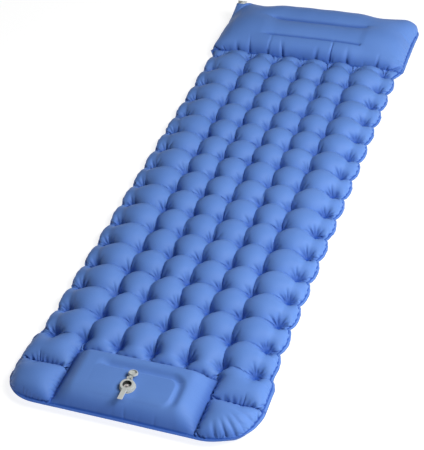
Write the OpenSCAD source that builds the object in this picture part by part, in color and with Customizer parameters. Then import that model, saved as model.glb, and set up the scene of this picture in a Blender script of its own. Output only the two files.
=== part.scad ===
// Inflatable camping pad with a built-in pillow and a built-in foot pump.
// Millimetres. +Z is up, +Y runs from the foot to the head, +X is the sleeper's right.
// The origin is the middle of the underside. Air cells are modelled as thin-walled shells.

/* [Pad] */
// Overall length from foot flange to head flange
pad_l = 2000; // [1900:10:2100]
// Width of the foot and pillow ends over the weld flange
end_w = 716; // [690:2:740]
// Width of the quilted middle over the weld flange
body_w = 676; // [660:2:690]
// Height of the quilted cells
body_h = 62; // [52:1:72]
// Height of the plane where top and bottom sheets are welded
weld_z = 24; // [18:1:30]
// Width of the flat weld flange all round
flange = 9; // [6:1:12]
// Wall thickness drawn for every coated sheet
film = 1.2; // [1:0.1:2]

/* [Quilting] */
// Distance between the five middle columns of weld dots
column_pitch = 94.5; // [86:0.5:96]
// Distance from the side flange's edge to the outer column of weld dots
edge_inset = 39; // [38:1:50]
// Rows of weld dots along the pad
dot_rows = 16; // [12:1:18]
// Radius of a weld dot
dot_r = 6; // [4:0.5:8]
// Radius of the dimple at the surface above a weld dot
dimple_r = 24; // [16:1:27]

/* [Pillow] */
// Height of the pillow
pillow_h = 98; // [80:1:110]
// Depth of the pillow from its front seam to the head flange
pillow_d = 303; // [280:1:320]
// Width of the shallow head recess
recess_w = 340; // [280:2:380]
// Depth of the head recess below the pillow's crown
recess_drop = 9; // [5:1:14]

/* [Foot pump] */
// Width of the pump chamber between its two valleys
pump_w = 402; // [380:2:410]
// Depth of the pump chamber from the foot flange to its rear weld
pump_d = 200; // [190:1:205]
// Height of the pump panel when the foam is relaxed
pump_h = 74; // [68:1:80]
// Width of the foam block
foam_w = 236; // [200:2:260]
// Depth of the foam block
foam_d = 116; // [100:1:124]

/* [Valves] */
// Bore of the inlet port
port_d = 24.6; // [22:0.2:26]
// Outer diameter of the inlet valve's neck
neck_d = 40; // [38:0.5:44]
// Length of the inlet plug's pull tab past the rim
tab_l = 32; // [24:1:36]
// Angle that the small port cap leans open from its closed position
cap_open = 195; // [90:1:198]
// Length of the deflation plug's pull tab past the rim
deflate_tab_l = 15; // [10:1:20]

/* [Hidden] */
$fn = 48;

foot_y = -pad_l / 2;
head_y = pad_l / 2;
seam_y = head_y - pillow_d;
pump_rear_y = foot_y + pump_d;
foot_corner_r = 78;
head_corner_r = 34;
crease_y = foot_y + 132;
gap = 0.4;
cell_gap = 3;
crease_half = 4;
over = 20;
bolt_fn = 96;

// weld dot lattice
dot_first_y = pump_rear_y + 38;
dot_last_y = seam_y - 37;
dot_pitch = (dot_last_y - dot_first_y) / (dot_rows - 1);
outer_column = body_w / 2 - edge_inset;
dot_columns = concat(
    [-outer_column],
    [for (i = [-2 : 2]) i * column_pitch],
    [outer_column]
);

// pillow profile from the seam to the head
recess_front_y = seam_y + 66;
recess_rear_y = seam_y + 160;
crown_z = pillow_h;
slope_top = [head_y - 70, crown_z - 8];
slope_foot = [head_y - 34, crown_z - 32];
baffle_inset = 7;

// foot pump
pump_y = foot_y + pump_d / 2;
panel_t = 1.6;
panel_w = pump_w - 22;
panel_d = pump_d - 42;
panel_y = pump_y + 3;
foam_y = foot_y + 86;
gusset_inset = 4;

// inlet valve, measured up from the panel's top face
valve_y = foot_y + 77;
port_r = port_d / 2;
port_depth = 5.8;
throat_r = port_r - 1;
neck_r = neck_d / 2;
neck_h = 9;
neck_bore_r = 16.5;
base_flange_t = 1.4;
skirt_r = 16;
head_r = 18.4;
head_z = neck_h + gap;
head_t = 3.4;
hub_r = 7.5;
plug_z = 1;
stem_r = 1.4;
gasket_z = 5;
wire_r = 0.75;
cap_r = 13.4;
hinge_y = head_r + 2.4;
hinge_z = head_z + head_t + 1.3;
pin_r = 1.1;
lug_x = 6;
lug_t = 2.4;

// deflation valve, measured from its own seat
deflate_x = -312;
deflate_y = (slope_top[0] + slope_foot[0]) / 2;
deflate_z = (slope_top[1] + slope_foot[1]) / 2;
deflate_tilt = atan2(slope_top[1] - slope_foot[1], slope_foot[0] - slope_top[0]);
deflate_bore_r = 12.6;
deflate_plug_r = 12.2;
deflate_collar_h = 7.9;
deflate_wire_r = 0.6;

// transfer valve in the gusset behind the foot pump
transfer_z = 12.4;
seat_r = 7.3;
seat_bore_r = 5.4;
flap_hang = 8.6;

fabric_blue = [0.27, 0.44, 0.76];
inner_blue = [0.50, 0.58, 0.72];
tpu_grey = [0.72, 0.75, 0.74];
pin_grey = [0.62, 0.65, 0.66];
seal_grey = [0.25, 0.27, 0.28];
silicone_pink = [0.86, 0.83, 0.82];
foam_cream = [0.86, 0.84, 0.74];

// ---------- plan outlines ----------

// Rectangle x0..x1, y0..y1 drawn in by d
module plan_rect(x0, x1, y0, y1, d = 0) {
    translate([x0 + d, y0 + d])
        square([x1 - x0 - 2 * d, y1 - y0 - 2 * d]);
}

// Waste outside one rounded corner: centre cx, cy, radius r, quadrant signs sx and sy
module corner_cut(cx, cy, r, sx, sy) {
    side = r + over;
    difference() {
        translate([sx > 0 ? cx : cx - side, sy > 0 ? cy : cy - side])
            square([side, side]);
        translate([cx, cy])
            circle(r = r, $fn = 72);
    }
}

// Foot end over its full width
module plan_foot(d = 0) {
    r = foot_corner_r;
    difference() {
        plan_rect(-end_w / 2, end_w / 2, foot_y, pump_rear_y, d);
        for (s = [-1, 1])
            corner_cut(s * (end_w / 2 - r), foot_y + r, r - d, s, -1);
    }
}

// Pillow end over its full width
module plan_pillow(d = 0) {
    r = head_corner_r;
    difference() {
        plan_rect(-end_w / 2, end_w / 2, seam_y, head_y, d);
        for (s = [-1, 1])
            corner_cut(s * (end_w / 2 - r), head_y - r, r - d, s, 1);
    }
}

// Quilted middle
module plan_body(d = 0, y_in = 0) {
    translate([-body_w / 2 + d, pump_rear_y + y_in])
        square([body_w - 2 * d, seam_y - pump_rear_y - 2 * y_in]);
}

// Whole pad drawn in by d
module plan_pad(d = 0) {
    plan_body(d, -d - 1);
    plan_foot(d);
    plan_pillow(d);
}

// ---------- sheets ----------

// Cones over every weld dot from z_dot to z_face: grow widens them by the sheet's wall
module dot_cones(z_dot, z_face, grow) {
    rise = abs(z_face - z_dot);
    slope = (dimple_r - dot_r) / rise;
    past = 2;
    for (x = dot_columns)
        for (k = [0 : dot_rows - 1])
            translate([x, dot_first_y + k * dot_pitch, z_dot])
                mirror([0, 0, z_face < z_dot ? 1 : 0])
                    cylinder(
                        h = rise + past,
                        r1 = dot_r + grow,
                        r2 = dimple_r + grow + slope * past,
                        $fn = 20
                    );
}

module bottom_sheet() {
    color(fabric_blue)
    difference() {
        union() {
            linear_extrude(weld_z)
                plan_pad(flange);
            translate([0, 0, weld_z - film])
                linear_extrude(film)
                    plan_pad(0);
        }
        difference() {
            translate([0, 0, film])
                linear_extrude(weld_z)
                    plan_pad(flange + film);
            dot_cones(weld_z - film, 0, film);
        }
        dot_cones(weld_z - film, 0, 0);
    }
}

module mattress_top() {
    color(fabric_blue)
    difference() {
        union() {
            translate([0, 0, weld_z])
                linear_extrude(body_h - weld_z)
                    plan_body(flange, cell_gap);
            translate([0, 0, weld_z])
                linear_extrude(film)
                    plan_body(0, gap);
        }
        difference() {
            translate([0, 0, weld_z - 1])
                linear_extrude(body_h - weld_z + 1 - film)
                    plan_body(flange + film, cell_gap + film);
            dot_cones(weld_z, body_h, film);
        }
        dot_cones(weld_z + film, body_h, 0);
    }
}

// Plan of one air cell beside the pump: front or rear of the transverse crease
module plan_foot_cell(s, y0, y1, d) {
    intersection() {
        plan_foot(flange + d);
        plan_beside_pump(s, cell_gap + flange / 3, y0, y1, d);
    }
}

// Strip on side s of the pump, clear of it by inset, drawn in by d
module plan_beside_pump(s, inset, y0, y1, d = 0) {
    x_in = s * (pump_w / 2 + inset);
    x_out = s * end_w;
    plan_rect(min(x_in, x_out), max(x_in, x_out), y0, y1, d);
}

// Sheet panel beside the pump: a front cell and a rear cell with a weld crease between
module foot_panel(s) {
    // front and rear cell: [front edge, rear edge, height]
    cells = [
        [foot_y - over, crease_y - crease_half, body_h - 4],
        [crease_y + crease_half, pump_rear_y - cell_gap, body_h]
    ];
    color(fabric_blue)
    difference() {
        union() {
            for (c = cells)
                translate([0, 0, weld_z])
                    linear_extrude(c[2] - weld_z)
                        plan_foot_cell(s, c[0], c[1], 0);
            translate([0, 0, weld_z])
                linear_extrude(film)
                    intersection() {
                        plan_foot(0);
                        plan_beside_pump(s, gap, foot_y - over, pump_rear_y);
                    }
        }
        for (c = cells)
            translate([0, 0, weld_z - 1])
                linear_extrude(c[2] - weld_z + 1 - film)
                    plan_foot_cell(s, c[0], c[1], film);
    }
}

module foot_panel_left() { foot_panel(-1); }

module foot_panel_right() { foot_panel(1); }

// ---------- pillow ----------

// Side outline of the pillow, drawn in by d, standing on the weld plane
module pillow_profile(d) {
    z0 = weld_z - (d > 0 ? 1 : 0);
    polygon([
        [seam_y + cell_gap + d, z0],
        [seam_y + cell_gap + d, weld_z + 24],
        [seam_y + 22 + d, crown_z - 22 - d],
        [seam_y + 52 + d, crown_z - 2 - d],
        [recess_front_y, crown_z - d],
        [recess_rear_y + 30, crown_z - d],
        [slope_top[0] - d, slope_top[1] - d],
        [slope_foot[0] - d, slope_foot[1] - d],
        [head_y - flange - d, weld_z + 26],
        [head_y - flange - d, z0]
    ]);
}

// Solid pillow form drawn in by d: the side outline over the plan outline
module pillow_form(d) {
    intersection() {
        rotate([90, 0, 90])
            translate([0, 0, -end_w])
                linear_extrude(2 * end_w)
                    pillow_profile(d);
        translate([0, 0, weld_z - film - 2])
            linear_extrude(pillow_h)
                plan_pillow(flange + d);
    }
}

// Block that sinks the head recess below the crown, grown by d on every side
module recess_block(d) {
    translate([-recess_w / 2 - d, recess_front_y - d, crown_z - recess_drop - d])
        cube([
            recess_w + 2 * d,
            recess_rear_y - recess_front_y + 2 * d,
            recess_drop + over
        ]);
}

module pillow_top() {
    color(fabric_blue)
    difference() {
        union() {
            difference() {
                pillow_form(0);
                recess_block(0);
            }
            translate([0, 0, weld_z])
                linear_extrude(film)
                    difference() {
                        plan_pillow(0);
                        translate([-end_w, seam_y - 1])
                            square([2 * end_w, 1 + gap]);
                    }
        }
        difference() {
            pillow_form(film);
            recess_block(film);
        }
        at_deflate()
            cylinder(h = over, r = deflate_bore_r, center = true, $fn = bolt_fn);
    }
}

// Fabric tie between the bottom sheet and one long edge of the recess
module pillow_baffle(y) {
    z0 = film + gap;
    z1 = crown_z - recess_drop - film - gap;
    color(inner_blue)
    translate([-recess_w / 2 + baffle_inset, y - film / 2, z0])
        cube([recess_w - 2 * baffle_inset, film, z1 - z0]);
}

module pillow_baffle_front() { pillow_baffle(recess_front_y + baffle_inset); }

module pillow_baffle_rear() { pillow_baffle(recess_rear_y - baffle_inset); }

// ---------- foot pump ----------

// Film gusset that closes the pump chamber off from the mattress on three sides
module pump_chamber_wall() {
    h = weld_z - 2 * film - 2 * gap;
    x = pump_w / 2 - gusset_inset;
    rear = pump_rear_y - gusset_inset;
    color(inner_blue)
    difference() {
        translate([0, 0, film + gap])
            linear_extrude(h)
                difference() {
                    plan_rect(-x, x, foot_y + flange + gusset_inset, rear);
                    plan_rect(-x + film, x - film, foot_y, rear - film);
                }
        at_transfer()
            cylinder(h = over, r = seat_r + 0.1, center = true);
    }
}

// Plan of the panel that the foot presses, drawn in by d
module plan_panel(d = 0) {
    plan_rect(
        -panel_w / 2, panel_w / 2,
        panel_y - panel_d / 2, panel_y + panel_d / 2, d
    );
}

// Side wall of the pump box, with the flange that welds it to the bottom sheet
module pump_skirt() {
    z1 = pump_h - panel_t - gap;
    color(fabric_blue)
    difference() {
        union() {
            translate([0, 0, weld_z])
                linear_extrude(z1 - weld_z)
                    plan_panel(0);
            translate([0, 0, weld_z])
                linear_extrude(film)
                    plan_rect(-pump_w / 2, pump_w / 2, foot_y, pump_rear_y - gap);
        }
        translate([0, 0, weld_z - 1])
            linear_extrude(pump_h)
                plan_panel(film);
    }
}

// Block of open foam that springs the panel back up
module pump_foam() {
    z0 = film + gap;
    z1 = pump_h - panel_t - base_flange_t - gap;
    color(foam_cream)
    translate([-foam_w / 2, foam_y - foam_d / 2, z0])
        cube([foam_w, foam_d, z1 - z0]);
}

// Panel that the foot presses, with the round hole for the inlet valve
module pump_panel() {
    color(fabric_blue)
    translate([0, 0, pump_h - panel_t])
        linear_extrude(panel_t)
            difference() {
                plan_panel(0);
                translate([0, valve_y])
                    circle(r = neck_r + 0.05, $fn = 96);
            }
}

// Places children with z = 0 on the gusset's mattress face, pointing at the head
module at_transfer() {
    translate([0, pump_rear_y - gusset_inset, transfer_z])
        rotate([-90, 0, 0])
            children();
}

// One-way valve from the pump chamber to the mattress: seat ring in the gusset
module transfer_seat() {
    color(tpu_grey)
    at_transfer()
        difference() {
            union() {
                translate([0, 0, -film - 1.6])
                    cylinder(h = 1.5, r = 9.6);
                translate([0, 0, -film - 1])
                    cylinder(h = film + 2.4, r = seat_r);
            }
            cylinder(h = over, r = seat_bore_r, center = true);
        }
}

// Flap hung along its top edge behind the seat, with a bead that it turns on
module transfer_flap() {
    flap_t = 0.9;
    width = 12;
    color(seal_grey)
    at_transfer()
        translate([0, 0, 1.75]) {
            cylinder(h = flap_t, r = seat_r - 0.3);
            translate([-width / 2, -flap_hang, 0])
                cube([width, flap_hang - 2, flap_t]);
            translate([-width / 2, -flap_hang, flap_t / 2])
                rotate([0, 90, 0])
                    cylinder(h = width, r = 0.6);
        }
}

// ---------- inlet valve ----------

// Places children with z = 0 on the panel's top face, on the valve's axis
module at_valve() {
    translate([0, valve_y, pump_h])
        children();
}

// Ribbed neck bonded into the panel, with a flange inside
module inlet_base() {
    ribs = 30;
    color(tpu_grey)
    at_valve()
        difference() {
            union() {
                translate([0, 0, -panel_t - base_flange_t])
                    cylinder(h = base_flange_t, r = neck_r + 7, $fn = bolt_fn);
                translate([0, 0, -panel_t - 1])
                    cylinder(h = neck_h + panel_t + 1, r = neck_r, $fn = bolt_fn);
                cylinder(h = 1.2, r = neck_r + 2.2, $fn = bolt_fn);
                for (i = [0 : ribs - 1])
                    rotate([0, 0, i * 360 / ribs])
                        translate([neck_r - 0.1, 0, 1])
                            cylinder(h = neck_h - 2.2, r = 1, $fn = 16);
            }
            cylinder(h = 2 * over, r = neck_bore_r, center = true, $fn = bolt_fn);
        }
}

// Annular plug: skirt, rim, pull tab, spider and the two lugs of the cap's hinge
module inlet_plug() {
    color(tpu_grey)
    at_valve()
        difference() {
            union() {
                translate([0, 0, plug_z])
                    cylinder(h = head_z, r = skirt_r, $fn = bolt_fn);
                translate([0, 0, head_z])
                    cylinder(h = head_t, r = head_r, $fn = bolt_fn);
                translate([-6.5, -head_r - tab_l, head_z + 0.4])
                    cube([13, tab_l + 5, 2.6]);
                for (s = [-1, 1])
                    translate([s * lug_x - lug_t / 2, hinge_y - 5, head_z + 0.6])
                        cube([lug_t, 7.2, hinge_z + lug_t - head_z - 0.6]);
            }
            difference() {
                cylinder(h = 2 * over, r = throat_r, center = true, $fn = bolt_fn);
                plug_spider();
            }
            translate([0, 0, head_z + head_t - port_depth])
                cylinder(h = over, r = port_r, $fn = bolt_fn);
            cylinder(h = 8, r = stem_r + 0.3);
            translate([0, 0, gasket_z])
                gasket_ring(skirt_r - 0.5, wire_r + 0.2);
            at_hinge()
                cylinder(h = over, r = pin_r, center = true);
        }
}

// Places children on the small cap's hinge pin, with z along the pin
module at_hinge() {
    translate([0, hinge_y, hinge_z])
        rotate([0, 90, 0])
            children();
}

// Three arms and a hub across the bottom of the port
module plug_spider() {
    arm_w = 2.6;
    translate([0, 0, plug_z])
        cylinder(h = 1.6, r = hub_r);
    for (a = [90, 210, 330])
        rotate([0, 0, a])
            translate([0, -arm_w / 2, plug_z])
                cube([port_r + 2, arm_w, 1.4]);
}

// Round-section sealing ring of radius r and thickness 2 * w
module gasket_ring(r, w) {
    rotate_extrude($fn = bolt_fn)
        translate([r, 0])
            circle(r = w, $fn = 24);
}

module inlet_gasket() {
    color(seal_grey)
    at_valve()
        translate([0, 0, gasket_z])
            gasket_ring(skirt_r - 0.5, wire_r);
}

// Silicone disc under the port, held by a stem with a bead above the hub
module inlet_flap() {
    color(silicone_pink)
    at_valve() {
        translate([0, 0, -0.5])
            cylinder(h = 1.1, r = skirt_r - 2);
        cylinder(h = 6, r = stem_r);
        translate([0, 0, 5])
            cylinder(h = 1.6, r = 2 * stem_r);
    }
}

module inlet_hinge_pin() {
    color(pin_grey)
    at_valve()
        at_hinge()
            cylinder(h = 16, r = pin_r, center = true);
}

// Small cap that closes the port, drawn closed and then swung open about its pin
module inlet_cap() {
    seat_z = head_z + head_t + 0.5 - hinge_z;
    lid_t = 1.8;
    arm_w = 8;
    color(tpu_grey)
    at_valve()
        translate([0, hinge_y, hinge_z])
            rotate([-cap_open, 0, 0])
                difference() {
                    union() {
                        translate([0, -hinge_y, seat_z])
                            cylinder(h = lid_t, r = cap_r, $fn = bolt_fn);
                        translate([0, -hinge_y, seat_z - 3.6])
                            cylinder(h = 4, r = port_r - 0.5, $fn = bolt_fn);
                        translate([-3, -hinge_y - cap_r - 3, seat_z])
                            cube([6, 6, lid_t]);
                        translate([-arm_w / 2, -8, seat_z])
                            cube([arm_w, 8, lid_t]);
                        rotate([0, 90, 0])
                            cylinder(h = arm_w, r = 2.3, center = true);
                    }
                    translate([0, -hinge_y, seat_z - 5])
                        cylinder(h = 5.2, r = port_r - 2.3, $fn = bolt_fn);
                    rotate([0, 90, 0])
                        cylinder(h = over, r = pin_r + 0.08, center = true);
                }
}

// ---------- deflation valve ----------

// Places children on the deflation valve's seat, tilted towards the head
module at_deflate() {
    translate([deflate_x, deflate_y, deflate_z])
        rotate([-deflate_tilt, 0, 0])
            children();
}

// Collar bonded to the pillow's rear slope
module deflate_base() {
    flange_r = 20;
    collar_r = 16;
    color(tpu_grey)
    at_deflate()
        difference() {
            translate([0, 0, 0.1]) {
                cylinder(h = 1.3, r = flange_r, $fn = bolt_fn);
                cylinder(h = deflate_collar_h, r = collar_r, $fn = bolt_fn);
            }
            cylinder(h = 2 * over, r = deflate_bore_r, center = true, $fn = bolt_fn);
        }
}

// Hollow plug with a wide head and a pull tab
module deflate_plug() {
    head_r = 17.5;
    tab_w = 11;
    top_z = deflate_collar_h + 0.5;
    color(tpu_grey)
    at_deflate()
        difference() {
            union() {
                translate([0, 0, 1.4])
                    cylinder(h = 7.4, r = deflate_plug_r, $fn = bolt_fn);
                translate([0, 0, top_z])
                    cylinder(h = 2.6, r = head_r, $fn = bolt_fn);
                translate([-tab_w / 2, -head_r - deflate_tab_l, top_z + 0.2])
                    cube([tab_w, deflate_tab_l + 4, 2.2]);
            }
            cylinder(h = 7.6, r = deflate_plug_r - 2.6, $fn = bolt_fn);
            translate([0, 0, gasket_z])
                gasket_ring(deflate_plug_r - 0.5, deflate_wire_r + 0.2);
        }
}

module deflate_gasket() {
    color(seal_grey)
    at_deflate()
        translate([0, 0, gasket_z])
            gasket_ring(deflate_plug_r - 0.5, deflate_wire_r);
}

bottom_sheet();
mattress_top();
foot_panel_left();
foot_panel_right();
pillow_top();
pillow_baffle_front();
pillow_baffle_rear();
pump_chamber_wall();
pump_skirt();
pump_foam();
pump_panel();
transfer_seat();
transfer_flap();
inlet_base();
inlet_plug();
inlet_gasket();
inlet_flap();
inlet_hinge_pin();
inlet_cap();
deflate_base();
deflate_plug();
deflate_gasket();
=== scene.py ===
"""Inflatable camping pad with a built-in pillow and foot pump: its visual model around the CAD part.

Lengths in the cloth solver are millimetres in the part's own frame; meshes are made in metres.
"""
import math
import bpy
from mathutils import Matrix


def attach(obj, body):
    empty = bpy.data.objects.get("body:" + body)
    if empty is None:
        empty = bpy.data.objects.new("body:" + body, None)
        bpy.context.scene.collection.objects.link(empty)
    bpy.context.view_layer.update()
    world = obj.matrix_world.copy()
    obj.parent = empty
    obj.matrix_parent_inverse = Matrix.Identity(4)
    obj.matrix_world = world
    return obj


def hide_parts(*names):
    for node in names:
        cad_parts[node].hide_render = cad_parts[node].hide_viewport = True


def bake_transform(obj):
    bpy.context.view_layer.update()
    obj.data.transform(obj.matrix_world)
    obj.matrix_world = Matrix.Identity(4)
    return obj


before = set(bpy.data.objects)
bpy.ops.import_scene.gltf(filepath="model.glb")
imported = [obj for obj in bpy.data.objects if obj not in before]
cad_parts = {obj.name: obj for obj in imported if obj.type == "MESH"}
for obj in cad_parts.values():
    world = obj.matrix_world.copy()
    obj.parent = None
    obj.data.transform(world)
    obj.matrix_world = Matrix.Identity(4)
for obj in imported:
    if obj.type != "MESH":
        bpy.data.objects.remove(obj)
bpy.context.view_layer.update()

from concurrent.futures import ThreadPoolExecutor

import bmesh
import bpy
import numpy as np
from mathutils import Matrix, Vector

F = np.float32
MM = 0.001

# ---------------------------------------------------------------- grid of the sheets
# Distances along the pad from its middle, foot to head.
FOOT_END, FOOT_SEAM, CREASE, PUMP_REAR = -1000, -991, -868, -800
FIRST_DOT, LAST_DOT = -762, 660
PILLOW_SEAM, RECESS_FRONT, RECESS_REAR, HEAD_SEAM, HEAD_END = 697, 763, 857, 991, 1000
# Distances across the grid from its middle: two dot columns, the last dots, the rim seam, the edge.
COL_1, COL_2, COL_DOT, SEAM_X, TIP_X = 94.5, 189, 299, 329, 337
HALF_W = 358
PUMP_HALF = 204
INLET_Y = -923
DEFLATE_X, DEFLATE_Y = -312, 948
# Heights of the welds.
WELD_Z, CREASE_Z, PILLOW_SEAM_Z, DOT_Z = 24., 25, 32, 20
# Height of the pump panel's cloth, and of the cloth round the sloping deflation valve.
PANEL_Z = 74.05
DEFLATE_Z, DEFLATE_SLOPE = 77.6, 2 / 3

ROW_COUNT = 16
PITCH = (LAST_DOT - FIRST_DOT) / (ROW_COUNT - 1)
# Segments (start, end, cells, grading) of the grid's lines on the finished pad.
COLS = [
    (0, COL_1, 26, .6), (COL_1, COL_2, 26, .6), (COL_2, COL_DOT, 28, .6),
    (COL_DOT, SEAM_X, 14, .2), (SEAM_X, TIP_X, 3, 0),
]
COL_NAMES = ("mid", "c1", "c2", "dot", "seam", "tip")
ROWS = (
    [(FOOT_END, FOOT_SEAM, 3, 0), (FOOT_SEAM, CREASE, 38, .3),
     (CREASE, PUMP_REAR, 24, .35), (PUMP_REAR, FIRST_DOT, 14, .3)]
    + [(FIRST_DOT + k * PITCH, FIRST_DOT + (k + 1) * PITCH, 28, .6) for k in range(ROW_COUNT - 1)]
    + [(LAST_DOT, PILLOW_SEAM, 14, .3), (PILLOW_SEAM, RECESS_FRONT, 24, .2),
       (RECESS_FRONT, RECESS_REAR, 26, .2), (RECESS_REAR, HEAD_SEAM, 44, .2),
       (HEAD_SEAM, HEAD_END, 3, 0)]
)
ROW_NAMES = (["front", "fseam", "crease", "prear"] + ["r%d" % k for k in range(ROW_COUNT)]
             + ["pseam", "b1", "b2", "rseam", "rear"])
DOT_COLUMNS = ("mid", "c1", "c2", "dot")
# How far the rim swings out and in along the quilted sides.
SCALLOP = 13


def graded(a, b, n, ease):
    """n cells from a to b, finer near both ends."""
    t = np.linspace(0, 1, n + 1)
    t = (1 - ease) * t + ease * (t - np.sin(2 * np.pi * t) / (2 * np.pi))
    return a + (b - a) * t


def lines(segs, q):
    """Line positions, their index in knots, and the knots' line numbers, at detail q."""
    pos, idx, knots = [segs[0][0]], [0.0], [0]
    for k, (a, b, n, e) in enumerate(segs):
        m = n if n < 4 else int(round(n * q))
        pos += list(graded(a, b, m, e)[1:])
        idx += list(k + np.arange(1, m + 1) / m)
        knots.append(len(pos) - 1)
    return np.array(pos), np.array(idx), knots


def smooth(t):
    """Rises from 0 to 1 with soft ends."""
    t = np.clip(t, 0, 1)
    return t * t * (3 - 2 * t)


def ramp(t, power=2.5):
    """Rises from 0 to 1, steep at first."""
    return 1 - (1 - np.clip(t, 0, 1)) ** power


class Grid:
    """Columns across the pad and rows along it, with the named ones at welds."""

    def __init__(self, q):
        c, ci, ck = lines(COLS, q)
        self.x = np.concatenate([-c[::-1], c[1:]])
        self.xi = np.concatenate([-ci[::-1], ci[1:]])
        n = len(c) - 1
        self.cx = {name: (n - k, n + k) for name, k in zip(COL_NAMES, ck)}
        self.y, self.yi, rk = lines(ROWS, q)
        self.ry = dict(zip(ROW_NAMES, rk))
        self.nx, self.ny = len(self.x), len(self.y)


def rounded(X, Y, sx, sy, cx, cy, rx, ry):
    """Bends the grid's square corner beyond cx, cy into an elliptical one."""
    a = np.clip(sx * (X - cx) / rx, 0, 1)
    b = np.clip(sy * (Y - cy) / ry, 0, 1)
    m = (sx * (X - cx) > 0) & (sy * (Y - cy) > 0)
    return (np.where(m, cx + sx * rx * a * np.sqrt(1 - b * b / 2), X),
            np.where(m, cy + sy * ry * b * np.sqrt(1 - a * a / 2), Y))


def plan(g):
    """Where every grid point sits in plan on the finished pad."""
    X, Y = np.meshgrid(g.x, g.y)
    foot = 1 - smooth((g.y - PUMP_REAR) / 70)
    head = smooth((g.y - 672) / 40)
    # where the named columns lie: between the ends, at the foot and at the pillow
    between = np.array([0, COL_1, COL_2, COL_DOT, SEAM_X, TIP_X], float)
    at_foot = np.array([0, 100, PUMP_HALF, 296, 349, HALF_W], float)
    at_head = np.array([0, 96, 192, 300, 349, HALF_W], float)
    for i, y in enumerate(g.y):
        f, p = foot[i], head[i]
        k = between * (1 - f - p) + at_foot * f + at_head * p
        k[1:3] *= 1 + 0.11 * np.exp(-max(y - PUMP_REAR, 0) / 62.0) * (1 - f)
        lobe = abs(math.sin(math.pi * (y - FIRST_DOT) / PITCH)) ** .7
        k[4:6] += (SCALLOP * lobe - 4) * (1 - f) * (1 - p)
        X[i] = np.sign(g.x) * np.interp(np.abs(g.x), between, k)
    for sx, sy, rx, ry in ((-1, -1, 105, 95), (1, -1, 140, 130), (-1, 1, 50, 50), (1, 1, 50, 50)):
        X, Y = rounded(X, Y, sx, sy, sx * (HALF_W - rx), sy * (HEAD_END - ry), rx, ry)
    return X, Y


def pump_design(X, Y):
    """Height of the pump's taut cover: steep behind, long slope in front, soft ends."""
    sides = ramp((PUMP_HALF - np.abs(X)) / 60, 1.8)
    rear = ramp((PUMP_REAR - Y) / 34)
    front = ramp((Y - FOOT_SEAM) / 62, 2.2)
    crown = 2.2 * (1 - (X / 200) ** 2) + .8 * np.sin(X / 61 + 1) * np.sin(Y / 33)
    return WELD_Z + (48.6 + crown) * sides * rear * front


# ---------------------------------------------------------------- cloth solver
# How much longer the pump's cover is cut than its designed surface.
TAUT = 1.012


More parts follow.
